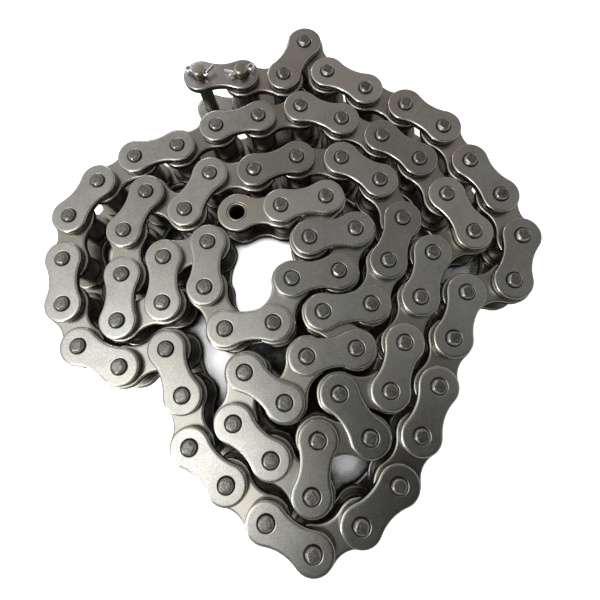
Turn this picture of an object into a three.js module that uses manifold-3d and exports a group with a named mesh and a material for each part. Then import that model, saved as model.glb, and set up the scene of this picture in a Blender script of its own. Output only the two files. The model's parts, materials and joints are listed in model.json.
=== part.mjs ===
// A motorcycle drive chain, 5/8 inch pitch and 3/8 inch wide, lying on its side in a loose double coil.
//
// Millimetres. X and Y span the surface that the chain lies on and +Z is up, along the pins. The origin is
// the middle of the bottom of the whole coil's box. Links are counted from the connecting link, which is
// link 1: odd links are outer links (two plates riveted on two pins) and even links are inner links (two
// plates pressed on two bushes, each with a roller).
import * as THREE from "three";
import { mergeVertices } from "three/addons/utils/BufferGeometryUtils.js";
import Module from "manifold-3d";

const wasm = await Module();
wasm.setup();

// ---- Driving dimensions ------------------------------------------------------------------------------

const PITCH = 15.875; // pin to pin
const INNER_WIDTH = 9.53; // between the two inner plates
const PLATE = 2.4; // thickness of every plate
const SIDE_GAP = 0.3; // between an inner plate and the outer plate over it
const PIN_RADIUS = 2.55;
const PIN_STAND_OUT = 1.1; // riveted pin end beyond its outer plate
const PIN_CHAMFER = 0.5;
const BUSH_BORE = 2.8;
const BUSH_RADIUS = 3.55;
const ROLLER_BORE = 3.85;
const ROLLER_RADIUS = 5.08;
const ROLLER_END_GAP = 0.25; // between a roller and the inner plate beside it
const PRESS_GAP = 0.15; // drawn room round a pressed pin or bush
const JOINED_OVERLAP = 0.4; // how far a roller runs into a plate where a link is drawn as one solid

const INNER_PLATE = { end: 7.2, waist: 5.0 }; // radius of the round ends, half the height of the waist
const OUTER_PLATE = { end: 6.35, waist: 4.8 };

const CONNECTING_PIN_STAND_OUT = 2.8; // the connecting pins stand further out, to take the cotters
const COTTER_HOLE = { radius: 1.0, abovePlate: 1.3, sides: 8 };

// A split cotter, seen from above with its pin at the origin: the wire's path out along one leg, round the
// eye and back along the other.
const COTTER_WIRE = { radius: 0.35, sides: 6, steps: 36 };
const COTTER_EYE = { centreX: -4.0, radius: 1.0, headings: [55, 90, 135, 180, 225, 270, 305] };
const COTTER_LONG_LEG = [[5.2, 3.4], [3.9, 1.6], [2.6, 0.47], [0, 0.45], [-2.4, 0.45]];
const COTTER_SHORT_LEG = [[-2.4, -0.45], [0, -0.45], [2.6, -0.45], [4.4, -0.35]];
const COTTER_TURN = THREE.MathUtils.degToRad(-20); // of the cotter and its hole, from along the link

// Heights of the layers, from the surface that the pin ends stand on.
const LOW_OUTER = PIN_STAND_OUT;
const LOW_INNER = LOW_OUTER + PLATE + SIDE_GAP;
const LOW_INSIDE = LOW_INNER + PLATE;
const TOP_INSIDE = LOW_INSIDE + INNER_WIDTH;
const TOP_OUTER = TOP_INSIDE + PLATE + SIDE_GAP;
const OUTER_FACE = TOP_OUTER + PLATE;
const PIN_TOP = OUTER_FACE + PIN_STAND_OUT;
const CONNECTING_PIN_TOP = OUTER_FACE + CONNECTING_PIN_STAND_OUT;

// How round each solid is drawn: steps on a plate's end, steps on its waist, sides of its pins and rollers.
const FINE = { endSteps: 10, waistSteps: 3, sides: 12 }; // a link taken apart into its real pieces
const JOINED = { endSteps: 8, waistSteps: 2, sides: 8 }; // a link drawn as one solid
const COARSE = { endSteps: 6, waistSteps: 2, sides: 6 }; // a link inside a run of the coil

// ---- How the chain lies ------------------------------------------------------------------------------

// The heading of each link in whole degrees from +X, from the connecting link to the open inner end.
const OUTER_CROWN = [0, -2, 61, -57, -29, -27, -36, -59];
const OUTER_RIGHT_FLANK = [-55, -70, -106, -166, -110, -111, -113, -118, -136];
const FOOT = [-152, 150, 140, 138, 102];
const LEFT_FLANK = [113, -159, 155, 117, 97, 89, 56, 37];
const SECOND_CROWN = [15, 29, 13, 13, -21, -27, -37, -58];
const SECOND_RIGHT_FLANK = [-60, -153, -108, -112, -109];
const FOLDS_AT_THE_FOOT = [-177, -55, -177, -97, 141, 138, 79, -36, 64, 9, 131, 9];
const INNER_CROWN = [67, 70, 116, 146, 177, -163, -176, -121, 154];
const INNER_LEFT_FLANK = [-115, -87, -90, 22, 93, 19, -91, -62];
const FOLDS_IN_THE_MIDDLE = [7, 68, 9, 68, -170, 69, -169, -176];
const HEADINGS = [
  OUTER_CROWN,
  OUTER_RIGHT_FLANK,
  FOOT,
  LEFT_FLANK,
  SECOND_CROWN,
  SECOND_RIGHT_FLANK,
  FOLDS_AT_THE_FOOT,
  INNER_CROWN,
  INNER_LEFT_FLANK,
  FOLDS_IN_THE_MIDDLE,
].flat();

const LINKS = HEADINGS.length;
const LAST_TAKEN_APART = 4; // links up to this one, and the last link, are drawn as their separate pieces
const LAST_HINGED = 16; // links up to this one swing on their pins
const RUNS = 20; // the rest of the coil, but for the last link, is drawn in this many runs

// The joint centres: link n goes from joint n - 1 to joint n.
function layJoints() {
  const joints = [new THREE.Vector2(0, 0)];
  for (const heading of HEADINGS) {
    const angle = THREE.MathUtils.degToRad(heading);
    const step = new THREE.Vector2(Math.cos(angle), Math.sin(angle)).multiplyScalar(PITCH);
    joints.push(joints.at(-1).clone().add(step));
  }
  return joints;
}

const JOINTS = layJoints();
const isInner = (link) => link % 2 === 0;

// ---- Shapes ------------------------------------------------------------------------------------------

// Points of an arc, without its last point, because the next arc of the outline starts there.
function arcPoints(centreX, centreY, radius, from, to, steps) {
  const points = [];
  for (let i = 0; i < steps; i++) {
    const angle = from + ((to - from) * i) / steps;
    points.push(new THREE.Vector2(centreX + radius * Math.cos(angle), centreY + radius * Math.sin(angle)));
  }
  return points;
}

// A link plate's figure-of-eight outline, from joint to joint along +X: two round ends, and a hollow waist
// whose arcs run into the ends without a corner.
function plateOutline(plate, detail) {
  const half = PITCH / 2;
  const hollow = (half ** 2 + plate.waist ** 2 - plate.end ** 2) / (2 * (plate.end - plate.waist));
  const hollowY = plate.waist + hollow;
  const lean = Math.atan2(hollowY, half);
  const turn = Math.PI - lean;
  return [
    ...arcPoints(PITCH, 0, plate.end, -turn, turn, detail.endSteps),
    ...arcPoints(half, hollowY, hollow, -lean, -turn, detail.waistSteps),
    ...arcPoints(0, 0, plate.end, lean, 2 * Math.PI - lean, detail.endSteps),
    ...arcPoints(half, -hollowY, hollow, turn, lean, detail.waistSteps),
  ];
}

function plateGeometry(plate, z, detail, holeRadius = 0) {
  const shape = new THREE.Shape(plateOutline(plate, detail));
  if (holeRadius > 0) {
    for (const x of [0, PITCH]) {
      shape.holes.push(new THREE.Path(arcPoints(x, 0, holeRadius, 0, 2 * Math.PI, detail.sides)));
    }
  }
  return new THREE.ExtrudeGeometry(shape, { depth: PLATE, bevelEnabled: false }).translate(0, 0, z);
}

// An upright round bar at x along the link.
function barGeometry(x, radius, low, high, sides) {
  const bar = new THREE.CylinderGeometry(radius, radius, high - low, sides);
  return bar.rotateX(Math.PI / 2).translate(x, 0, (low + high) / 2);
}

// An upright tube, as a closed profile turned about its axis.
function tubeGeometry(x, bore, radius, low, high, sides) {
  const profile = [
    [bore, low],
    [radius, low],
    [radius, high],
    [bore, high],
    [bore, low],
  ].map(([r, z]) => new THREE.Vector2(r, z));
  return new THREE.LatheGeometry(profile, sides).rotateX(Math.PI / 2).translate(x, 0, 0);
}

// A pin with a chamfer round each end.
function pinGeometry(x, high, sides) {
  const profile = [
    [0, 0],
    [PIN_RADIUS - PIN_CHAMFER, 0],
    [PIN_RADIUS, PIN_CHAMFER],
    [PIN_RADIUS, high - PIN_CHAMFER],
    [PIN_RADIUS - PIN_CHAMFER, high],
    [0, high],
  ].map(([r, z]) => new THREE.Vector2(r, z));
  return new THREE.LatheGeometry(profile, sides).rotateX(Math.PI / 2).translate(x, 0, 0);
}

// ---- Joining and cutting -----------------------------------------------------------------------------

function toSolid(geometry, matrix = new THREE.Matrix4()) {
  const source = geometry.index ? geometry.toNonIndexed() : geometry;
  const bare = new THREE.BufferGeometry();
  bare.setAttribute("position", source.getAttribute("position").clone());
  bare.applyMatrix4(matrix);
  const merged = mergeVertices(bare, 1e-4);
  const vertProperties = merged.getAttribute("position").array;
  const triVerts = new Uint32Array(merged.index.array);
  return new wasm.Manifold(new wasm.Mesh({ numProp: 3, vertProperties, triVerts }));
}

function toGeometry(solid) {
  const { numProp, vertProperties, triVerts } = solid.getMesh();
  const positions = [];
  for (let i = 0; i < vertProperties.length; i += numProp) {
    positions.push(vertProperties[i], vertProperties[i + 1], vertProperties[i + 2]);
  }
  const geometry = new THREE.BufferGeometry();
  geometry.setAttribute("position", new THREE.Float32BufferAttribute(positions, 3));
  geometry.setIndex([...triVerts]);
  geometry.computeVertexNormals();
  return geometry;
}

const joinAll = (solids) => solids.reduce((whole, next) => whole.add(next));

// ---- Materials ---------------------------------------------------------------------------------------

const steel = (color, roughness, metalness = 0.9) =>
  new THREE.MeshStandardMaterial({ color, roughness, metalness });

const MATERIALS = {
  outerPlate: steel(0x8a8984, 0.6),
  innerPlate: steel(0x9c9282, 0.6),
  coverPlate: steel(0x85817e, 0.6),
  pin: steel(0x6a6660, 0.5),
  connectingPin: steel(0x8f7f6a, 0.4),
  bush: steel(0x55524e, 0.4),
  roller: steel(0x3f3d3b, 0.35),
  cotter: steel(0xd2d2cf, 0.25),
};

// ---- Placing -----------------------------------------------------------------------------------------

const chain = new THREE.Group();

// The place of a link: its first joint, turned to its heading.
function linkMatrix(link) {
  const start = JOINTS[link - 1];
  const angle = THREE.MathUtils.degToRad(HEADINGS[link - 1]);
  return new THREE.Matrix4().makeRotationZ(angle).setPosition(start.x, start.y, 0);
}

function linkGroup(link) {
  const group = new THREE.Group();
  group.applyMatrix4(linkMatrix(link));
  chain.add(group);
  return group;
}

function addMesh(group, name, geometry, material) {
  const mesh = new THREE.Mesh(geometry, material);
  mesh.name = name;
  group.add(mesh);
}

const linkNumber = (link) => String(link).padStart(2, "0");

// ---- A link taken apart ------------------------------------------------------------------------------

// An inner link: two plates, and a bush and a roller at each joint.
function addInnerPieces(link, prefix) {
  const group = linkGroup(link);
  const hole = BUSH_RADIUS + PRESS_GAP;
  const top = TOP_INSIDE + PLATE;
  const plate = (z) => plateGeometry(INNER_PLATE, z, FINE, hole);
  addMesh(group, `${prefix}_bottom_plate`, plate(LOW_INNER), MATERIALS.innerPlate);
  addMesh(group, `${prefix}_top_plate`, plate(TOP_INSIDE), MATERIALS.innerPlate);
  for (const [end, x] of [["a", 0], ["b", PITCH]]) {
    const bush = tubeGeometry(x, BUSH_BORE, BUSH_RADIUS, LOW_INNER, top, FINE.sides);
    const rollerLow = LOW_INSIDE + ROLLER_END_GAP;
    const rollerHigh = TOP_INSIDE - ROLLER_END_GAP;
    const roller = tubeGeometry(x, ROLLER_BORE, ROLLER_RADIUS, rollerLow, rollerHigh, FINE.sides);
    addMesh(group, `${prefix}_bush_${end}`, bush, MATERIALS.bush);
    addMesh(group, `${prefix}_roller_${end}`, roller, MATERIALS.roller);
  }
}

// An outer link: two plates riveted on two pins.
function addOuterPieces(link, prefix) {
  const group = linkGroup(link);
  const hole = PIN_RADIUS + PRESS_GAP;
  const plate = (z) => plateGeometry(OUTER_PLATE, z, FINE, hole);
  addMesh(group, `${prefix}_bottom_plate`, plate(LOW_OUTER), MATERIALS.outerPlate);
  addMesh(group, `${prefix}_top_plate`, plate(TOP_OUTER), MATERIALS.outerPlate);
  addMesh(group, `${prefix}_pin_a`, pinGeometry(0, PIN_TOP, FINE.sides), MATERIALS.pin);
  addMesh(group, `${prefix}_pin_b`, pinGeometry(PITCH, PIN_TOP, FINE.sides), MATERIALS.pin);
}

// ---- The connecting link -----------------------------------------------------------------------------

const COTTER_HEIGHT = OUTER_FACE + COTTER_HOLE.abovePlate;

// A connecting pin, with a cross hole for its cotter, turned from along the link.
function connectingPinGeometry(x, turn) {
  const pin = toSolid(pinGeometry(x, CONNECTING_PIN_TOP, FINE.sides));
  const { radius, sides } = COTTER_HOLE;
  const drill = new THREE.CylinderGeometry(radius, radius, 4 * PIN_RADIUS, sides);
  drill.rotateZ(Math.PI / 2 + turn).translate(x, 0, COTTER_HEIGHT);
  return toGeometry(pin.subtract(toSolid(drill)));
}

// One wire bent into an eye, with both legs through the pin and spread apart behind it.
function cotterGeometry() {
  const eye = COTTER_EYE.headings.map((heading) => {
    const angle = THREE.MathUtils.degToRad(heading);
    return [COTTER_EYE.centreX + COTTER_EYE.radius * Math.cos(angle), COTTER_EYE.radius * Math.sin(angle)];
  });
  const route = [...COTTER_LONG_LEG, ...eye, ...COTTER_SHORT_LEG];
  const points = route.map(([x, y]) => new THREE.Vector3(x, y, 0));
  const extrudePath = new THREE.CatmullRomCurve3(points, false, "centripetal");
  const section = new THREE.Shape(arcPoints(0, 0, COTTER_WIRE.radius, 0, 2 * Math.PI, COTTER_WIRE.sides));
  return new THREE.ExtrudeGeometry(section, { extrudePath, steps: COTTER_WIRE.steps, bevelEnabled: false });
}

function addConnectingLink() {
  const group = linkGroup(1);
  const hole = PIN_RADIUS + PRESS_GAP;
  const plate = (z) => plateGeometry(OUTER_PLATE, z, FINE, hole);
  addMesh(group, "connecting_back_plate", plate(LOW_OUTER), MATERIALS.outerPlate);
  addMesh(group, "connecting_cover_plate", plate(TOP_OUTER), MATERIALS.coverPlate);
  const freePin = connectingPinGeometry(0, COTTER_TURN);
  const joinedPin = connectingPinGeometry(PITCH, -COTTER_TURN);
  addMesh(group, "connecting_pin_free", freePin, MATERIALS.connectingPin);
  addMesh(group, "connecting_pin_joined", joinedPin, MATERIALS.connectingPin);
  // The joined end's cotter is the free end's one turned over, so both eyes point away from the link.
  const freeCotter = cotterGeometry().rotateZ(COTTER_TURN).translate(0, 0, COTTER_HEIGHT);
  const turnedOver = cotterGeometry().rotateZ(COTTER_TURN).rotateY(Math.PI);
  const joinedCotter = turnedOver.translate(PITCH, 0, COTTER_HEIGHT);
  addMesh(group, "cotter_free", freeCotter, MATERIALS.cotter);
  addMesh(group, "cotter_joined", joinedCotter, MATERIALS.cotter);
}

// ---- Links drawn as one solid ------------------------------------------------------------------------

// The corners of a bore lie this far out, so that its flat sides are a full bush bore apart.
const BORE_CORNER_RADIUS = BUSH_BORE / Math.cos(Math.PI / JOINED.sides);

// The plates and pins of an outer link, pressed together.
function outerLinkSolid(detail, matrix) {
  const pieces = [
    plateGeometry(OUTER_PLATE, LOW_OUTER, detail),
    plateGeometry(OUTER_PLATE, TOP_OUTER, detail),
    barGeometry(0, PIN_RADIUS, 0, PIN_TOP, detail.sides),
    barGeometry(PITCH, PIN_RADIUS, 0, PIN_TOP, detail.sides),
  ];
  return joinAll(pieces.map((piece) => toSolid(piece, matrix)));
}

// The plates and rollers of an inner link, with the bores that another node's pins go through.
function innerLinkSolid(detail, matrix, boredEnds) {
  const low = LOW_INSIDE - JOINED_OVERLAP;
  const high = TOP_INSIDE + JOINED_OVERLAP;
  const pieces = [
    plateGeometry(INNER_PLATE, LOW_INNER, detail),
    plateGeometry(INNER_PLATE, TOP_INSIDE, detail),
    barGeometry(0, ROLLER_RADIUS, low, high, detail.sides),
    barGeometry(PITCH, ROLLER_RADIUS, low, high, detail.sides),
  ];
  let link = joinAll(pieces.map((piece) => toSolid(piece, matrix)));
  for (const x of boredEnds) {
    const bore = barGeometry(x, BORE_CORNER_RADIUS, 0, PIN_TOP, JOINED.sides);
    link = link.subtract(toSolid(bore, matrix));
  }
  return link;
}

function addHingedLink(link) {
  const place = new THREE.Matrix4();
  if (isInner(link)) {
    const solid = innerLinkSolid(JOINED, place, [0, PITCH]);
    addMesh(linkGroup(link), `inner_link_${linkNumber(link)}`, toGeometry(solid), MATERIALS.innerPlate);
  } else {
    const solid = outerLinkSolid(JOINED, place);
    addMesh(linkGroup(link), `outer_link_${linkNumber(link)}`, toGeometry(solid), MATERIALS.outerPlate);
  }
}

// A run of the coil from link first to link last: an inner link at its end is bored for the next run's pin.
function addRun(first, last) {
  const solids = [];
  for (let link = first; link <= last; link++) {
    const place = linkMatrix(link);
    if (isInner(link)) {
      const boredEnds = [];
      if (link === first) {
        boredEnds.push(0);
      }
      if (link === last) {
        boredEnds.push(PITCH);
      }
      solids.push(innerLinkSolid(COARSE, place, boredEnds));
    } else {
      solids.push(outerLinkSolid(COARSE, place));
    }
  }
  const name = `coil_links_${linkNumber(first)}_to_${linkNumber(last)}`;
  addMesh(chain, name, toGeometry(joinAll(solids)), MATERIALS.outerPlate);
}

// ---- The whole chain ---------------------------------------------------------------------------------

addConnectingLink();
addInnerPieces(2, "inner_link_02");
addOuterPieces(3, "outer_link_03");
addInnerPieces(4, "inner_link_04");
for (let link = LAST_TAKEN_APART + 1; link <= LAST_HINGED; link++) {
  addHingedLink(link);
}
const runLinks = LINKS - 1 - LAST_HINGED;
for (let run = 0; run < RUNS; run++) {
  const first = LAST_HINGED + 1 + Math.round((run * runLinks) / RUNS);
  const last = LAST_HINGED + Math.round(((run + 1) * runLinks) / RUNS);
  addRun(first, last);
}
addInnerPieces(LINKS, `end_link_${linkNumber(LINKS)}`);

// The origin is the middle of the bottom of the box.
const box = new THREE.Box3().setFromObject(chain, true);
const centre = box.getCenter(new THREE.Vector3());
chain.position.set(-centre.x, -centre.y, -box.min.z);

export default chain;
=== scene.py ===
# Looks of a motorcycle drive chain that lies on its side in a loose double coil.
#
# Metres, Z up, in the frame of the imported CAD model. Every link of the chain gets its real pieces again, with
# rounded edges, riveted pin ends, bushes, rollers and split cotters. Places come from the CAD nodes' boxes,
# from their pin ends and from the hinges of the record.
import json
import math
import random
import re

import bpy
import numpy as np
from mathutils import Matrix, Vector


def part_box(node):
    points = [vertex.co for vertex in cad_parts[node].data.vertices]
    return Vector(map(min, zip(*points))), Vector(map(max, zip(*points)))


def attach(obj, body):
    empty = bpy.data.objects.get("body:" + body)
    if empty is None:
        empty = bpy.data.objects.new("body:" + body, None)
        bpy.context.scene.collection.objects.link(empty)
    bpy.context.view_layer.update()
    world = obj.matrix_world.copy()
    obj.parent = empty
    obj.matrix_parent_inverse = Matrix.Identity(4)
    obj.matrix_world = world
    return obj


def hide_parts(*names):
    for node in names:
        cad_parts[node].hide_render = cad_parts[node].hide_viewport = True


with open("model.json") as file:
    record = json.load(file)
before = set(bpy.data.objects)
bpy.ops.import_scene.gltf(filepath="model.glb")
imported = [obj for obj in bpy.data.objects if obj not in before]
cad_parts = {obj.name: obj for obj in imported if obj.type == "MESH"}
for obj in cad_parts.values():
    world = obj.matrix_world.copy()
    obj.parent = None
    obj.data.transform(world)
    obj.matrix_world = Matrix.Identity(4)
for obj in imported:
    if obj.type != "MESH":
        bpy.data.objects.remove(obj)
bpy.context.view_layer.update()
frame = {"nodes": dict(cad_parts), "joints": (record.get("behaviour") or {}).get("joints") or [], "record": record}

MM = 0.001

# ---- Sizes ---------------------------------------------------------------------------------------------


def span(node):
    """Lowest and highest z of a CAD node, in metres."""
    low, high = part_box(node)
    return low.z, high.z


def centre(node):
    """Middle of a CAD node seen from above."""
    low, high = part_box(node)
    return Vector(((low.x + high.x) / 2, (low.y + high.y) / 2))


BACK_Z = span("connecting_back_plate")
COVER_Z = span("connecting_cover_plate")
INNER_LOW_Z = span("inner_link_02_bottom_plate")
INNER_TOP_Z = span("inner_link_02_top_plate")
ROLLER_Z = span("inner_link_02_roller_a")
BUSH_Z = span("inner_link_02_bush_a")
PIN_Z = span("outer_link_03_pin_a")
LONG_PIN_Z = span("connecting_pin_free")

PITCH = (centre("connecting_pin_joined") - centre("connecting_pin_free")).length
OUTER_END, OUTER_WAIST = 6.35 * MM, 4.8 * MM  # radius of a plate's round ends, half height of its waist
INNER_END, INNER_WAIST = 7.2 * MM, 5.0 * MM
PIN_RADIUS = 2.55 * MM
BUSH_BORE, BUSH_RADIUS = 2.8 * MM, 3.55 * MM
ROLLER_BORE, ROLLER_RADIUS = 3.7 * MM, 5.08 * MM

# ---- Where the joints are ------------------------------------------------------------------------------


def pin_ends(node):
    """Centres of the pin ends at the top of a CAD node, seen from above."""
    points = np.array([v.co for v in frame["nodes"][node].data.vertices])
    top = points[points[:, 2] > points[:, 2].max() - 0.02 * MM][:, :2]
    found = []
    while len(top):
        near = np.linalg.norm(top - top[0], axis=1) < 2.2 * PIN_RADIUS
        group = top[near]
        found.append(Vector((group.min(0) + group.max(0)) / 2))
        top = top[~near]
    return found


def joint_centres():
    """Every joint from the free connecting pin to the open end, one pitch after another."""
    placed = {
        int(j["name"].split("_")[1]): Vector(j["pos_m"][:2])
        for j in frame["joints"]
        if j["name"].startswith("hinge_")
    }
    line = [centre("connecting_pin_free")] + [placed[k] for k in sorted(placed)]
    loose = [p for node in frame["nodes"] if node.startswith("coil_links") for p in pin_ends(node)]
    loose.append(centre("end_link_80_bush_b"))
    loose = [p for p in loose if (p - line[-1]).length > 0.1 * MM]
    while loose:
        step = [abs((p - line[-1]).length - PITCH) for p in loose]
        best = min(range(len(loose)), key=step.__getitem__)
        line.append(loose.pop(best))
    return line


JOINTS = joint_centres()
LINKS = len(JOINTS) - 1


def link_matrix(link):
    """Place of a link: its first joint, turned along the link."""
    start, end = JOINTS[link - 1], JOINTS[link]
    heading = math.atan2(end.y - start.y, end.x - start.x)
    return Matrix.Translation((start.x, start.y, 0)) @ Matrix.Rotation(heading, 4, "Z")


def is_inner(link):
    return link % 2 == 0


# ---- Shapes in mesh code -------------------------------------------------------------------------------


class Shape:
    """Points, faces and two values per point.

    rim is 1 on a worn edge and -1 in a corner where parts meet, painted dark as shade with old oil, and tone is a
    shade.
    """

    def __init__(self):
        self.points, self.faces, self.rim, self.tone = [], [], [], []

    def ring(self, points, rim=0.0):
        """Adds points and returns their numbers."""
        first = len(self.points)
        self.points += [tuple(p) for p in points]
        self.rim += [rim] * len(points)
        self.tone += [0.0] * len(points)
        return list(range(first, first + len(points)))

    def bridge(self, a, b):
        """Faces between two closed rings of as many points."""
        n = len(a)
        self.faces += [(a[i], a[(i + 1) % n], b[(i + 1) % n], b[i]) for i in range(n)]

    def placed(self, matrix, tone):
        """This shape moved to a place, with a shade of its own."""
        made = Shape()
        made.points = [tuple(matrix @ Vector(p)) for p in self.points]
        made.faces, made.rim = self.faces, self.rim
        made.tone = [tone] * len(self.points)
        return made


def arc(cx, cy, radius, start, end, steps):
    """Points of an arc without its last one."""
    angles = [start + (end - start) * i / steps for i in range(steps)]
    return [(cx + radius * math.cos(a), cy + radius * math.sin(a)) for a in angles]


END_STEPS, WAIST_STEPS, MIDDLE_STEPS = 30, 10, 6


def plate_outline(end, waist, inset):
    """Figure-of-eight outline of a plate, drawn in by inset, from the middle of the lower waist round."""
    half = PITCH / 2
    hollow = (half**2 + waist**2 - end**2) / (2 * (end - waist))
    lean = math.atan2(waist + hollow, half)
    turn = math.pi - lean
    points = arc(PITCH, 0, end - inset, -turn, turn, END_STEPS)
    points += arc(half, waist + hollow, hollow + inset, -lean, -turn, WAIST_STEPS)
    points += arc(0, 0, end - inset, lean, 2 * math.pi - lean, END_STEPS)
    points += arc(half, -waist - hollow, hollow + inset, turn, lean, WAIST_STEPS)
    shift = WAIST_STEPS // 2  # half a waist back, so that the list starts at x = half
    return points[-shift:] + points[:-shift]


# How a plate's edge rolls off: how far in from the outline, how far down from the face, how worn.
EDGE = [
    (1.15, 0.0, 0.0),
    (1.0, 0.0, 0.0),
    (0.66, 0.02, 0.0),
    (0.36, 0.07, 0.2),
    (0.17, 0.17, 0.7),
    (0.05, 0.33, 0.9),
    (0.0, 0.54, 0.4),
    (0.0, 0.7, 0.05),
]


def plate_shape(end, waist, hole, low, high):
    """A link plate with rounded edges and two holes."""
    shape = Shape()
    count = len(plate_outline(end, waist, 0))
    rows = []
    for inset, drop, rim in EDGE:
        rows.append((inset * MM, high - drop * MM, rim))
    for inset, drop, rim in reversed(EDGE):
        rows.append((inset * MM, low + drop * MM, rim))
    rings = [shape.ring([(x, y, z) for x, y in plate_outline(end, waist, i)], r) for i, z, r in rows]
    for upper, lower in zip(rings, rings[1:]):
        shape.bridge(upper, lower)
    chamfer, margin = 0.1 * MM, 0.4 * MM
    half = count // 2
    middles = {}
    for face, ring in ((0, rings[0]), (1, rings[-1])):
        z = (high, low)[face]
        bottom, top = Vector(shape.points[ring[0]]), Vector(shape.points[ring[half]])
        steps = [bottom.lerp(top, i / MIDDLE_STEPS) for i in range(1, MIDDLE_STEPS)]
        middles[face] = shape.ring(steps)
    for side, x in ((0, PITCH), (1, 0.0)):
        loops = []
        for face, ring in ((0, rings[0]), (1, rings[-1])):
            if side == 0:
                loop = ring[: half + 1] + middles[face][::-1]
            else:
                loop = ring[half:] + [ring[0]] + middles[face]
            z = (high, low)[face]
            inward = (-1, 1)[face]
            angles = [math.atan2(shape.points[i][1], shape.points[i][0] - x) for i in loop]
            # The mouth and wall of a hole carry a negative rim: painted shade with old oil where the pin or bush
            # meets the plate.
            collar, mouth, wall = (
                shape.ring([(x + r * math.cos(a), r * math.sin(a), height) for a in angles], rim)
                for r, height, rim in (
                    (hole + margin, z, 0.0),
                    (hole + chamfer, z, -0.3),
                    (hole, z + inward * chamfer, -1.0),
                )
            )
            steps = [loop, collar, mouth, wall]
            for outer, inner in zip(steps, steps[1:]):
                shape.bridge(*((inner, outer) if face == 0 else (outer, inner)))
            loops.append(wall)
        shape.bridge(loops[1], loops[0])
    for i, face in enumerate(shape.faces):
        shape.faces[i] = face[::-1]
    return shape


def turned(x, profile, sides, wobble=None):
    """A profile of (radius, z, rim) turned about an upright axis at x; a radius of 0 closes it to a point."""
    shape = Shape()
    rings = []
    for radius, z, rim in profile:
        points = []
        for i in range(sides):
            a = 2 * math.pi * i / sides
            r = radius if wobble is None else wobble(radius, z, a)
            points.append((x + r * math.cos(a), r * math.sin(a), z))
        rings.append(shape.ring(points, rim))
    for a, b in zip(rings, rings[1:]):
        shape.bridge(a, b)
    return shape, rings


def close_end(shape, ring, x, z, upward):
    """Closes the last ring of a turned shape with a fan to its middle."""
    middle = shape.ring([(x, 0, z)])[0]
    n = len(ring)
    for i in range(n):
        pair = (ring[i], ring[(i + 1) % n])
        shape.faces.append((*pair, middle) if upward else (*pair[::-1], middle))


def tube_shape(x, bore, radius, low, high, rounding, sides=36):
    """A tube with rounded ends."""
    steps = [(1.0, 0.0, 0.6), (0.45, 0.12, 0.9), (0.12, 0.45, 0.6), (0.0, 1.0, 0.1)]
    profile = [(bore, low + 0.3 * rounding, 0.1), (bore + 0.3 * rounding, low, 0.4)]
    profile += [(radius - a * rounding, low + b * rounding, r) for a, b, r in steps]
    profile += [(radius - a * rounding, high - b * rounding, r) for a, b, r in reversed(steps)]
    profile += [(bore + 0.3 * rounding, high, 0.4), (bore, high - 0.3 * rounding, 0.1)]
    shape, rings = turned(x, profile, sides)
    shape.bridge(rings[-1], rings[0])
    return shape


PIN_SIDES = 40
SHANK_FROM = 1.3 * MM  # where the straight shank starts, from the pin's end
END_HOLLOW = 0.03 * MM
FLAT_DEPTH = 0.9 * MM  # how far down from a pin's end the hammered flats reach
# A negative wear value at the foot of the cone is painted shade with old oil, where the pin end meets the plate.
RIVETED_END = [  # a swaged pin end in millimetres: how far from the end, radius, how worn
    (0.0, 1.5, 0.0),
    (0.02, 1.84, 0.1),
    (0.1, 2.0, 0.7),
    (0.4, 2.2, 0.6),
    (0.8, 2.42, -0.4),
    (1.1, 2.5, -1.0),
]


def riveted_pin(x, rng):
    """A pin whose ends are swaged over: a cone to a small, hammered top with uneven flats."""
    low, high = PIN_Z
    flats = []
    start = rng.uniform(0, math.pi)
    for k in range(rng.choice((2, 3, 4, 4))):
        flats.append((start + k * math.pi / 2 + rng.uniform(-0.25, 0.25), rng.uniform(0.76, 0.88)))

    def wobble(radius, z, angle):
        depth = min(z - low, high - z) / FLAT_DEPTH
        if depth > 1 or radius == 0:
            return radius
        r = radius
        for heading, share in flats:
            facing = math.cos(angle - heading)
            if facing > 0.5:
                r = min(r, (share + (1 - share) * depth) * radius / facing)
        return r

    profile = [(r * MM, low + d * MM, rim) for d, r, rim in RIVETED_END]
    profile += [(PIN_RADIUS, low + SHANK_FROM, 0.0), (PIN_RADIUS, high - SHANK_FROM, 0.0)]
    profile += [(r * MM, high - d * MM, rim) for d, r, rim in reversed(RIVETED_END)]
    shape, rings = turned(x, profile, PIN_SIDES, wobble)
    close_end(shape, rings[0], x, low + END_HOLLOW, False)
    close_end(shape, rings[-1], x, high - END_HOLLOW, True)
    return shape


# The two ends of a connecting pin in millimetres: radius, how far from the end, how worn.
LONG_PIN_FOOT = [(1.45, 0.0, 0.0), (1.9, 0.12, 0.8), (2.42, 0.85, 0.7), (2.5, 1.1, 0.1), (2.55, 1.3, 0.0)]
LONG_PIN_HEAD = [
    (2.55, 1.2, 0.0),
    (2.52, 0.62, 0.1),
    (2.38, 0.34, 0.8),
    (2.1, 0.1, 1.0),
    (1.9, 0.02, 0.4),
    (1.6, 0.0, 0.0),
]


def long_pin(x):
    """A connecting pin: a riveted lower end, and a plain chamfered upper end that takes a cotter."""
    low, high = LONG_PIN_Z
    profile = [(r * MM, low + z * MM, rim) for r, z, rim in LONG_PIN_FOOT]
    profile += [(r * MM, high - z * MM, rim) for r, z, rim in LONG_PIN_HEAD]
    shape, rings = turned(x, profile, PIN_SIDES)
    close_end(shape, rings[0], x, low, False)
    close_end(shape, rings[-1], x, high, True)
    return shape


# ---- Materials -----------------------------------------------------------------------------------------


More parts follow.
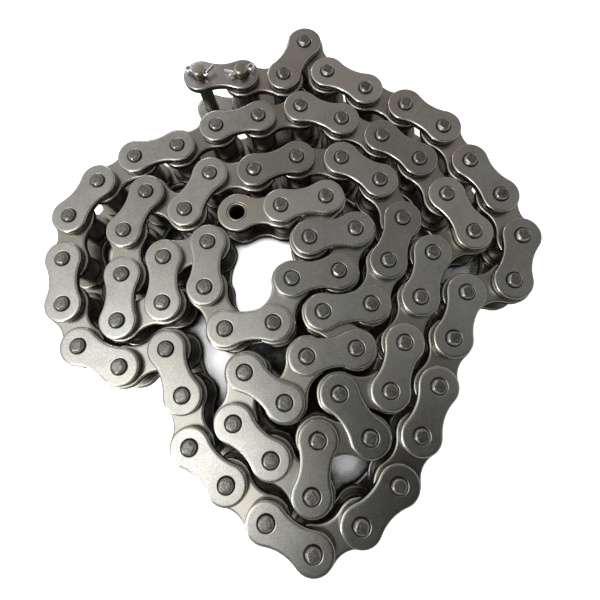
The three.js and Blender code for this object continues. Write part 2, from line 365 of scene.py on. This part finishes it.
class Nodes:
    """Short ways to build a material's node tree."""

    def __init__(self, name):
        self.material = bpy.data.materials.new(name)
        self.material.use_nodes = True
        self.tree = self.material.node_tree
        self.shader = self.tree.nodes["Principled BSDF"]

    def add(self, kind, **values):
        node = self.tree.nodes.new(kind)
        for key, value in values.items():
            setattr(node, key, value)
        return node

    def link(self, source, target):
        self.tree.links.new(source, target)

    def attribute(self, name):
        return self.add("ShaderNodeAttribute", attribute_name=name).outputs["Fac"]

    def noise(self, scale, detail=3.0, roughness=0.55, stretch=None):
        where = self.add("ShaderNodeTexCoord").outputs["Object"]
        if stretch is not None:
            mapping = self.add("ShaderNodeMapping")
            mapping.inputs["Scale"].default_value = stretch
            self.link(where, mapping.inputs["Vector"])
            where = mapping.outputs["Vector"]
        node = self.add("ShaderNodeTexNoise")
        node.inputs["Scale"].default_value = scale
        node.inputs["Detail"].default_value = detail
        node.inputs["Roughness"].default_value = roughness
        self.link(where, node.inputs["Vector"])
        return node.outputs["Fac"]

    def ramp(self, source, low, high, start=0.0, end=1.0):
        """Maps source from low..high to start..end, clamped."""
        node = self.add("ShaderNodeMapRange")
        self.link(source, node.inputs["Value"])
        for key, value in (("From Min", low), ("From Max", high), ("To Min", start), ("To Max", end)):
            node.inputs[key].default_value = value
        return node.outputs["Result"]

    def mix(self, factor, a, b, blend="MIX"):
        """Colour a at factor 0 and colour b at factor 1; each is a socket or three numbers."""
        node = self.add("ShaderNodeMix", data_type="RGBA", blend_type=blend)
        self.put(factor, node.inputs["Factor"])
        self.put(a, node.inputs[6])
        self.put(b, node.inputs[7])
        return node.outputs[2]

    def maths(self, operation, a, b, c=None):
        node = self.add("ShaderNodeMath", operation=operation)
        self.put(a, node.inputs[0])
        self.put(b, node.inputs[1])
        if c is not None:
            self.put(c, node.inputs[2])
        return node.outputs[0]

    def put(self, value, socket):
        if isinstance(value, bpy.types.NodeSocket):
            self.link(value, socket)
        elif isinstance(value, (int, float)):
            socket.default_value = value
        else:
            socket.default_value = (*value, 1.0)

    def inside_the_link(self):
        """1 between the plates, where painted shade and old oil go, and 0 at the faces on top and underneath."""
        height = self.add("ShaderNodeSeparateXYZ")
        self.link(self.add("ShaderNodeTexCoord").outputs["Object"], height.inputs["Vector"])
        up = self.ramp(height.outputs["Z"], 0.002, 0.006, 0.0, 1.0)
        down = self.ramp(height.outputs["Z"], INNER_TOP_Z[0], INNER_TOP_Z[1], 1.0, 0.0)
        return self.maths("MULTIPLY", up, down)

    def bump(self, height, strength, distance):
        node = self.add("ShaderNodeBump")
        node.inputs["Strength"].default_value = strength
        node.inputs["Distance"].default_value = distance
        self.link(height, node.inputs["Height"])
        self.link(node.outputs["Normal"], self.shader.inputs["Normal"])


# Nearly black: painted shade with old oil, laid in corners where parts meet and between the plates.
SHADE_AND_OLD_OIL = (0.03, 0.027, 0.022)


def steel(name, dark, light, worn, oil, rough, grain_scale, grain_strength, inside_shade_and_oil, stretch=None):
    """Steel from dark to light with fine grain, worn edges, patches of an oil tint, and painted shade with old oil
    in corners and between the plates.
    """
    n = Nodes(name)
    cloud = n.noise(110.0, 3.0, 0.55)
    blotch = n.noise(700.0, 3.0, 0.6)
    grain = n.noise(grain_scale, 2.0, 0.7, stretch)
    tone = n.attribute("tone")
    rim = n.attribute("rim")
    shade = n.maths("MULTIPLY_ADD", n.ramp(cloud, 0.3, 0.7), 0.35, n.maths("MULTIPLY", tone, 0.35))
    shade = n.maths("ADD", n.ramp(blotch, 0.3, 0.7, 0.02, 0.13), shade)
    shade = n.maths("ADD", n.ramp(grain, 0.3, 0.7, -grain_strength, 1.2 * grain_strength), shade)
    colour = n.mix(shade, dark, light)
    patch = n.ramp(n.noise(60.0, 2.0, 0.5), 0.4, 0.7, 0.0, 0.8)
    colour = n.mix(patch, colour, oil, "MULTIPLY")
    wear = n.maths("MULTIPLY", n.ramp(rim, 0.0, 1.0), n.ramp(blotch, 0.25, 0.6, 0.45, 1.0))
    colour = n.mix(wear, colour, worn)
    # Painted shade with old oil: corners where parts meet (rim below 0) and the space between the plates go
    # towards nearly black.
    corner_shade_and_oil = n.ramp(rim, 0.0, -1.0, 0.0, 0.85)
    between_plates_shade_and_oil = n.maths("MULTIPLY", n.inside_the_link(), inside_shade_and_oil)
    shade_and_oil = n.maths("MAXIMUM", corner_shade_and_oil, between_plates_shade_and_oil)
    colour = n.mix(shade_and_oil, colour, SHADE_AND_OLD_OIL)
    n.link(colour, n.shader.inputs["Base Color"])
    roughness = n.ramp(blotch, 0.3, 0.7, rough, rough + 0.02)
    roughness = n.maths("MULTIPLY_ADD", wear, -0.14, roughness)
    n.link(roughness, n.shader.inputs["Roughness"])
    n.shader.inputs["Metallic"].default_value = 1.0
    n.bump(grain, grain_strength, 0.03 * MM)
    return n.material


MATERIALS = {
    "outer_plate": steel(
        "outer_plate_steel",
        dark=(0.275, 0.274, 0.256),
        light=(0.49, 0.488, 0.456),
        worn=(0.52, 0.51, 0.46),
        oil=(0.96, 0.92, 0.87),
        rough=0.27,
        grain_scale=2700.0,
        grain_strength=0.4,
        inside_shade_and_oil=0.35,
    ),
    "inner_plate": steel(
        "inner_plate_steel",
        dark=(0.245, 0.240, 0.220),
        light=(0.43, 0.42, 0.385),
        worn=(0.50, 0.48, 0.43),
        oil=(0.97, 0.90, 0.80),
        rough=0.27,
        grain_scale=2700.0,
        grain_strength=0.38,
        inside_shade_and_oil=0.3,
    ),
    "cover_plate": steel(
        "cover_plate_steel",
        dark=(0.25, 0.234, 0.231),
        light=(0.39, 0.366, 0.363),
        worn=(0.50, 0.47, 0.44),
        oil=(0.94, 0.90, 0.84),
        rough=0.28,
        grain_scale=2700.0,
        grain_strength=0.34,
        inside_shade_and_oil=0.3,
    ),
    "pin": steel(
        "pin_steel",
        dark=(0.09, 0.089, 0.084),
        light=(0.235, 0.232, 0.218),
        worn=(0.44, 0.43, 0.39),
        oil=(1.0, 0.95, 0.88),
        rough=0.36,
        grain_scale=1900.0,
        grain_strength=0.7,
        inside_shade_and_oil=0.5,
    ),
    "connecting_pin": steel(
        "connecting_pin_steel",
        dark=(0.19, 0.165, 0.14),
        light=(0.33, 0.285, 0.24),
        worn=(0.50, 0.44, 0.38),
        oil=(0.85, 0.80, 0.76),
        rough=0.36,
        grain_scale=2600.0,
        grain_strength=0.3,
        inside_shade_and_oil=0.0,
    ),
    "bush": steel(
        "bush_steel",
        dark=(0.16, 0.157, 0.147),
        light=(0.30, 0.295, 0.275),
        worn=(0.50, 0.49, 0.45),
        oil=(0.96, 0.88, 0.77),
        rough=0.34,
        grain_scale=2600.0,
        grain_strength=0.3,
        inside_shade_and_oil=0.3,
    ),
    "roller": steel(
        "roller_steel",
        dark=(0.26, 0.254, 0.24),
        light=(0.40, 0.393, 0.37),
        worn=(0.50, 0.49, 0.46),
        oil=(0.66, 0.61, 0.52),
        rough=0.32,
        grain_scale=1200.0,
        grain_strength=0.12,
        inside_shade_and_oil=0.0,
        stretch=(1.0, 1.0, 0.15),
    ),
    "cotter": steel(
        "cotter_steel",
        dark=(0.86, 0.86, 0.84),
        light=(0.95, 0.95, 0.935),
        worn=(0.97, 0.97, 0.96),
        oil=(0.85, 0.84, 0.81),
        rough=0.33,
        grain_scale=1800.0,
        grain_strength=0.1,
        inside_shade_and_oil=0.0,
    ),
}

# ---- Making pieces -------------------------------------------------------------------------------------


def make_piece(name, shapes, slot, body, nodes):
    """One visible piece from shapes in place: it rides on a body and stands for CAD nodes."""
    points, faces, rim, tone = [], [], [], []
    for shape in shapes:
        first = len(points)
        points += shape.points
        faces += [tuple(first + i for i in face) for face in shape.faces]
        rim += shape.rim
        tone += shape.tone
    mesh = bpy.data.meshes.new(name)
    mesh.from_pydata(points, [], faces)
    for key, values in (("rim", rim), ("tone", tone)):
        attribute = mesh.attributes.new(key, "FLOAT", "POINT")
        attribute.data.foreach_set("value", np.array(values, np.float32))
    mesh.materials.append(MATERIALS[slot])
    mesh.polygons.foreach_set("use_smooth", [True] * len(mesh.polygons))
    mesh.update()
    mesh.set_sharp_from_angle(angle=math.radians(50))
    piece = bpy.data.objects.new(name, mesh)
    bpy.context.scene.collection.objects.link(piece)
    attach(piece, body)
    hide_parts(*nodes)
    return piece


OUTER_LOW = plate_shape(OUTER_END, OUTER_WAIST, PIN_RADIUS + 0.07 * MM, *BACK_Z)
OUTER_TOP = plate_shape(OUTER_END, OUTER_WAIST, PIN_RADIUS + 0.07 * MM, *COVER_Z)
INNER_LOW = plate_shape(INNER_END, INNER_WAIST, BUSH_RADIUS + 0.03 * MM, *INNER_LOW_Z)
INNER_TOP = plate_shape(INNER_END, INNER_WAIST, BUSH_RADIUS + 0.03 * MM, *INNER_TOP_Z)
BUSHES = [tube_shape(x, BUSH_BORE, BUSH_RADIUS, *BUSH_Z, 0.25 * MM) for x in (0.0, PITCH)]
ROLLERS = [tube_shape(x, ROLLER_BORE, ROLLER_RADIUS, *ROLLER_Z, 0.45 * MM, 44) for x in (0.0, PITCH)]


# Links whose plates are brighter, or duller, than the rest: painted light and painted shade, laid over the plates'
# own differing shade.
PALE_AND_PAINTED_LIT_LINKS = {5, 15, 20, 39, 43, 50, 52, 66, 68, 70, 73, 74, 78, 79, 80}
DULL_AND_PAINTED_SHADED_LINKS = {16, 17, 22, 23, 32, 34, 37, 40, 45, 46, 47, 57, 58, 60, 61, 75}


def tones(link):
    """A source of shades that is the same each time for a link."""
    return random.Random(1000 + link)


def plate_tone(link, rng):
    """A plate's shade: around 0.5, with painted light added for a brighter link and painted shade for a duller
    one.
    """
    return rng.random() + 1.2 * ((link in PALE_AND_PAINTED_LIT_LINKS) - (link in DULL_AND_PAINTED_SHADED_LINKS))


def outer_parts(link):
    """Plates and pins of an outer link, in place."""
    rng = tones(link)
    at = link_matrix(link)
    plates = [s.placed(at, plate_tone(link, rng)) for s in (OUTER_LOW, OUTER_TOP)]
    pins = [riveted_pin(x, rng).placed(at, rng.random()) for x in (0.0, PITCH)]
    return plates, pins


def inner_parts(link):
    """Plates, bushes and rollers of an inner link, in place."""
    rng = tones(link)
    at = link_matrix(link)
    plates = [s.placed(at, plate_tone(link, rng)) for s in (INNER_LOW, INNER_TOP)]
    bushes = [s.placed(at, rng.random()) for s in BUSHES]
    rollers = [s.placed(at, rng.random()) for s in ROLLERS]
    return plates, bushes, rollers


BODY_OF = {n: body for body, ns in frame["record"]["behaviour"]["bodies"].items() for n in ns}


def stand_for(node, shape, slot):
    """One piece in the place of one CAD node of the same name."""
    make_piece(node + "_detail", [shape], slot, BODY_OF[node], [node])


def inner_link_apart(link, prefix):
    plates, bushes, rollers = inner_parts(link)
    for end, plate in zip(("bottom", "top"), plates):
        stand_for(f"{prefix}_{end}_plate", plate, "inner_plate")
    for end, bush, roller in zip("ab", bushes, rollers):
        stand_for(f"{prefix}_bush_{end}", bush, "bush")
        stand_for(f"{prefix}_roller_{end}", roller, "roller")


def outer_link_apart(link, prefix):
    plates, pins = outer_parts(link)
    for end, plate in zip(("bottom", "top"), plates):
        stand_for(f"{prefix}_{end}_plate", plate, "outer_plate")
    for end, pin in zip("ab", pins):
        stand_for(f"{prefix}_pin_{end}", pin, "pin")


def links_together(node, first, last):
    """The links first to last, which one CAD node stands for, as a piece for each kind of part."""
    groups = {"outer_plate": [], "pin": [], "inner_plate": [], "bush": [], "roller": []}
    for link in range(first, last + 1):
        if is_inner(link):
            plates, bushes, rollers = inner_parts(link)
            groups["inner_plate"] += plates
            groups["bush"] += bushes
            groups["roller"] += rollers
        else:
            plates, pins = outer_parts(link)
            groups["outer_plate"] += plates
            groups["pin"] += pins
    for slot, shapes in groups.items():
        if shapes:
            make_piece(f"{node}_{slot}s".replace("bushs", "bushes"), shapes, slot, BODY_OF[node], [node])


# ---- Split cotters -------------------------------------------------------------------------------------


def smooth_path(points, steps):
    """A Catmull-Rom curve through points."""
    points = [Vector(p) for p in points]
    points = [2 * points[0] - points[1]] + points + [2 * points[-1] - points[-2]]
    path = []
    for a, b, c, d in zip(points, points[1:], points[2:], points[3:]):
        for i in range(steps):
            t = i / steps
            point = 2 * b + (c - a) * t
            point += (2 * a - 5 * b + 4 * c - d) * t**2
            point += (3 * b - a - 3 * c + d) * t**3
            path.append(0.5 * point)
    path.append(points[-2])
    return path


# A cotter in millimetres, with its pin at the origin. Each leg is a list of points from the eye outwards.
EYE_X, EYE_RADIUS, WIRE_RADIUS = -4.0, 1.05, 0.46
EYE_FROM, EYE_TO, EYE_STEP = 40, 320, 40  # the eye's points, in degrees round it
COTTER_TURN = math.radians(-20)  # of a cotter, from along the link
FREE_LONG_LEG = [(-2.7, 0.42, 0), (2.6, 0.45, 0), (3.3, 1.3, 0.2), (4.6, 4.0, 0.5)]
FREE_SHORT_LEG = [(-2.7, -0.42, 0), (2.7, -0.45, 0), (3.3, -0.4, 0), (3.9, 0.1, 0.1)]
JOINED_LONG_LEG = [(-2.7, 0.42, 0), (2.6, 0.45, 0), (3.4, 1.0, 0.1), (5.7, 2.7, 0.3)]
JOINED_SHORT_LEG = [(-2.7, -0.42, 0), (2.7, -0.45, 0), (3.6, -0.5, 0), (4.7, -0.3, 0)]


def cotter_shape(long_leg, short_leg):
    """A half-round wire bent flat into an eye with two legs."""
    eye = [
        (EYE_X + EYE_RADIUS * math.cos(math.radians(a)), EYE_RADIUS * math.sin(math.radians(a)), 0.0)
        for a in range(EYE_FROM, EYE_TO + 1, EYE_STEP)
    ]
    route = [(x, y, z) for x, y, z in reversed(long_leg)] + eye + short_leg
    path = smooth_path([Vector(p) * MM for p in route], 6)
    shape = Shape()
    rings = []
    for i, p in enumerate(path):
        before, after = path[max(i - 1, 0)], path[min(i + 1, len(path) - 1)]
        along = (after - before).normalized()
        side = Vector((0, 0, 1)).cross(along).normalized()
        upright = along.cross(side)
        size = WIRE_RADIUS * MM * (0.75 if i in (0, len(path) - 1) else 1.0)
        section = []
        for k in range(12):
            a = 2 * math.pi * k / 12
            across = max(math.cos(a), -0.45)  # the flat of the half-round wire, on the inner side of the bend
            section.append(p - side * (size * across) + upright * (1.15 * size * math.sin(a)))
        rings.append(shape.ring(section, 0.5))
    for a, b in zip(rings, rings[1:]):
        shape.bridge(b, a)
    shape.faces.append(tuple(rings[0]))
    shape.faces.append(tuple(rings[-1][::-1]))
    return shape


def connecting_link():
    """The connecting link: two plates, two long pins and their cotters."""
    at = link_matrix(1)
    rng = tones(1)
    stand_for("connecting_back_plate", OUTER_LOW.placed(at, 0.5), "outer_plate")
    stand_for("connecting_cover_plate", OUTER_TOP.placed(at, 0.6), "cover_plate")
    for name, x in (("free", 0.0), ("joined", PITCH)):
        stand_for(f"connecting_pin_{name}", long_pin(x).placed(at, rng.random()), "connecting_pin")
    hole_z = sum(span("cotter_free")) / 2
    free = cotter_shape(FREE_LONG_LEG, FREE_SHORT_LEG)
    joined = cotter_shape(JOINED_LONG_LEG, JOINED_SHORT_LEG)
    turn = Matrix.Rotation(COTTER_TURN, 4, "Z")
    flip = Matrix.Rotation(math.pi, 4, "Y")
    free_at = at @ Matrix.Translation((0, 0, hole_z)) @ turn
    joined_at = at @ Matrix.Translation((PITCH, 0, hole_z)) @ flip @ turn
    stand_for("cotter_free", free.placed(free_at, 0.5), "cotter")
    stand_for("cotter_joined", joined.placed(joined_at, 0.5), "cotter")


# ---- The whole chain -----------------------------------------------------------------------------------

connecting_link()
inner_link_apart(2, "inner_link_02")
outer_link_apart(3, "outer_link_03")
inner_link_apart(4, "inner_link_04")
inner_link_apart(LINKS, f"end_link_{LINKS}")
for node in sorted(frame["nodes"]):
    run = re.fullmatch(r"coil_links_(\d+)_to_(\d+)", node)
    single = re.fullmatch(r"(?:inner|outer)_link_(\d+)", node)
    if run:
        links_together(node, int(run[1]), int(run[2]))
    elif single:
        links_together(node, int(single[1]), int(single[1]))

# ---- Floor, light and camera ---------------------------------------------------------------------------


FLOOR_RADIUS, COVE_RADIUS, WALL_TOP = 2.4, 0.6, 3.0


def make_floor():
    """A pale glowing floor that curves up into a wall all round, with painted shadow where the chain crowds it. It
    doesn't light the chain, whose gaps stay dark.
    """
    n = Nodes("floor_paper")
    speck = n.noise(30.0, 2.0, 0.5)
    open_sky = n.add("ShaderNodeAmbientOcclusion", samples=64)
    open_sky.inputs["Distance"].default_value = 0.04
    # Painted shadow: where ambient occlusion finds the chain close, the floor's glow goes out and its colour turns
    # nearly black.
    outside_painted_shadow = n.ramp(open_sky.outputs["AO"], 0.11, 0.2)
    paper = n.mix(speck, (0.86, 0.86, 0.855), (0.9, 0.9, 0.895))
    n.link(n.mix(outside_painted_shadow, (0.05, 0.048, 0.045), paper), n.shader.inputs["Base Color"])
    n.shader.inputs["Roughness"].default_value = 0.9
    n.shader.inputs["Specular IOR Level"].default_value = 0.1
    n.shader.inputs["Emission Color"].default_value = (1, 1, 1, 1)
    n.link(outside_painted_shadow, n.shader.inputs["Emission Strength"])
    z = -0.2 * MM
    profile = [(0.3, z), (FLOOR_RADIUS, z)]
    for i in range(1, 9):
        a = math.pi / 2 * i / 8
        profile.append((FLOOR_RADIUS + COVE_RADIUS * math.sin(a), z + COVE_RADIUS * (1 - math.cos(a))))
    profile.append((FLOOR_RADIUS + COVE_RADIUS, WALL_TOP))
    shape, rings = turned(0.0, [(r, height, 0.0) for r, height in profile], 96)
    close_end(shape, rings[0], 0.0, z, False)
    mesh = bpy.data.meshes.new("floor")
    mesh.from_pydata(shape.points, [], [face[::-1] for face in shape.faces])
    mesh.materials.append(n.material)
    mesh.polygons.foreach_set("use_smooth", [True] * len(mesh.polygons))
    floor = bpy.data.objects.new("floor", mesh)
    bpy.context.scene.collection.objects.link(floor)
    floor.visible_diffuse = False
    floor.visible_glossy = False
    floor.visible_shadow = False


def area_light(name, place, size, watts, colour):
    """A rectangular light at a place, turned to the origin."""
    data = bpy.data.lights.new(name, "AREA")
    data.shape = "RECTANGLE"
    data.size, data.size_y = size
    data.energy = watts
    data.color = colour
    light = bpy.data.objects.new(name, data)
    light.location = place
    light.rotation_mode = "QUATERNION"
    light.rotation_quaternion = (-Vector(place)).to_track_quat("-Z", "Y")
    bpy.context.scene.collection.objects.link(light)


# The room's light: azimuth from +X and height in degrees, brightness in its middle, and narrowness.
# A negative brightness is a dark place.
LOBES = [
    ((200, 62), 5.5, 40),  # the window
    ((230, 68), 4.0, 100),  # a brighter pane of it
    ((165, 30), 0.7, 4),  # the wall beside the window
    ((280, 50), -1.3, 9),  # the photographer in front
    ((300, 72), -0.3, 30),  # the camera and the hands that hold it
]
ROOM_BASE, ROOM_LEAST, ROOM_MOST = 0.34, 0.02, 3.8
WALL_LIGHT, WALL_FULL, WALL_NONE = 0.62, 0.35, 0.78  # the room's walls, and the heights they fade between
KEY_PLACE, SKY_PLACE = (-0.28, -0.24, 0.20), (-0.16, 0.34, 0.20)


def make_light():
    """A big soft window on the left, a dim room round it, and a dark patch where the camera is held."""
    world = bpy.data.worlds.new("studio")
    bpy.context.scene.world = world
    world.use_nodes = True
    tree = world.node_tree

    def maths(operation, a, b):
        node = tree.nodes.new("ShaderNodeMath")
        node.operation = operation
        for value, socket in zip((a, b), node.inputs):
            if isinstance(value, bpy.types.NodeSocket):
                tree.links.new(value, socket)
            else:
                socket.default_value = value
        return node.outputs[0]

    direction = tree.nodes.new("ShaderNodeTexCoord").outputs["Generated"]
    split = tree.nodes.new("ShaderNodeSeparateXYZ")
    tree.links.new(direction, split.inputs["Vector"])
    strength = ROOM_BASE
    for (azimuth, height), bright, narrow in LOBES:
        azimuth, height = math.radians(azimuth), math.radians(height)
        level = math.cos(height)
        towards = (level * math.cos(azimuth), level * math.sin(azimuth), math.sin(height))
        dot = tree.nodes.new("ShaderNodeVectorMath")
        dot.operation = "DOT_PRODUCT"
        tree.links.new(direction, dot.inputs[0])
        dot.inputs[1].default_value = towards
        facing = maths("MAXIMUM", dot.outputs["Value"], 0.0)
        strength = maths("ADD", maths("MULTIPLY", maths("POWER", facing, narrow), bright), strength)
    walls = tree.nodes.new("ShaderNodeMapRange")
    tree.links.new(split.outputs["Z"], walls.inputs["Value"])
    walls.inputs["From Min"].default_value, walls.inputs["From Max"].default_value = WALL_FULL, WALL_NONE
    walls.inputs["To Min"].default_value, walls.inputs["To Max"].default_value = WALL_LIGHT, ROOM_LEAST
    strength = maths("MINIMUM", maths("MAXIMUM", strength, walls.outputs["Result"]), ROOM_MOST)
    floor_glow = tree.nodes.new("ShaderNodeMapRange")
    tree.links.new(split.outputs["Z"], floor_glow.inputs["Value"])
    floor_glow.inputs["From Min"].default_value, floor_glow.inputs["From Max"].default_value = -0.8, 0.1
    background = tree.nodes["Background"]
    tree.links.new(maths("MULTIPLY", strength, floor_glow.outputs["Result"]), background.inputs["Strength"])
    warm = tree.nodes.new("ShaderNodeMapRange")
    tree.links.new(split.outputs["Y"], warm.inputs["Value"])
    warm.inputs["From Min"].default_value, warm.inputs["From Max"].default_value = 0.42, 0.72
    tint = tree.nodes.new("ShaderNodeMix")
    tint.data_type = "RGBA"
    tree.links.new(warm.outputs["Result"], tint.inputs["Factor"])
    tint.inputs[6].default_value, tint.inputs[7].default_value = (1.0, 1.0, 0.98, 1), (1.0, 0.875, 0.84, 1)
    tree.links.new(tint.outputs[2], background.inputs["Color"])
    area_light("key_window", KEY_PLACE, size=(0.12, 0.12), watts=0.6, colour=(1.0, 0.985, 0.95))
    area_light("sky", SKY_PLACE, size=(0.08, 0.05), watts=0.1, colour=(0.8, 0.88, 1.0))


CAMERA_LENS = 22.17  # millimetres, on a 36 mm sensor
CAMERA_FORWARD = Vector((-0.0371, 0.1975, -0.9796))
CAMERA_UP = Vector((0.0075, 0.9803, 0.1974))
# From the free connecting pin, and in height from the tops of the riveted pins.
CAMERA_FROM_PIN = Vector((42.33, -110.93, 117.3)) * MM


def make_camera():
    """The viewpoint is fixed to the free connecting pin: almost straight above the coil and close to it."""
    pin = centre("connecting_pin_free")
    data = bpy.data.cameras.new("camera")
    data.sensor_width = 36.0
    data.lens = CAMERA_LENS
    data.clip_start, data.clip_end = 0.01, 20.0
    camera = bpy.data.objects.new("camera", data)
    forward = CAMERA_FORWARD.normalized()
    right = forward.cross(CAMERA_UP).normalized()
    up = right.cross(forward)
    turn = Matrix((right, up, -forward)).transposed()
    place = Vector((pin.x, pin.y, PIN_Z[1])) + CAMERA_FROM_PIN
    camera.matrix_world = Matrix.Translation(place) @ turn.to_4x4()
    bpy.context.scene.collection.objects.link(camera)
    bpy.context.scene.camera = camera


make_floor()
make_light()
make_camera()
bpy.context.scene.view_settings.view_transform = "Standard"
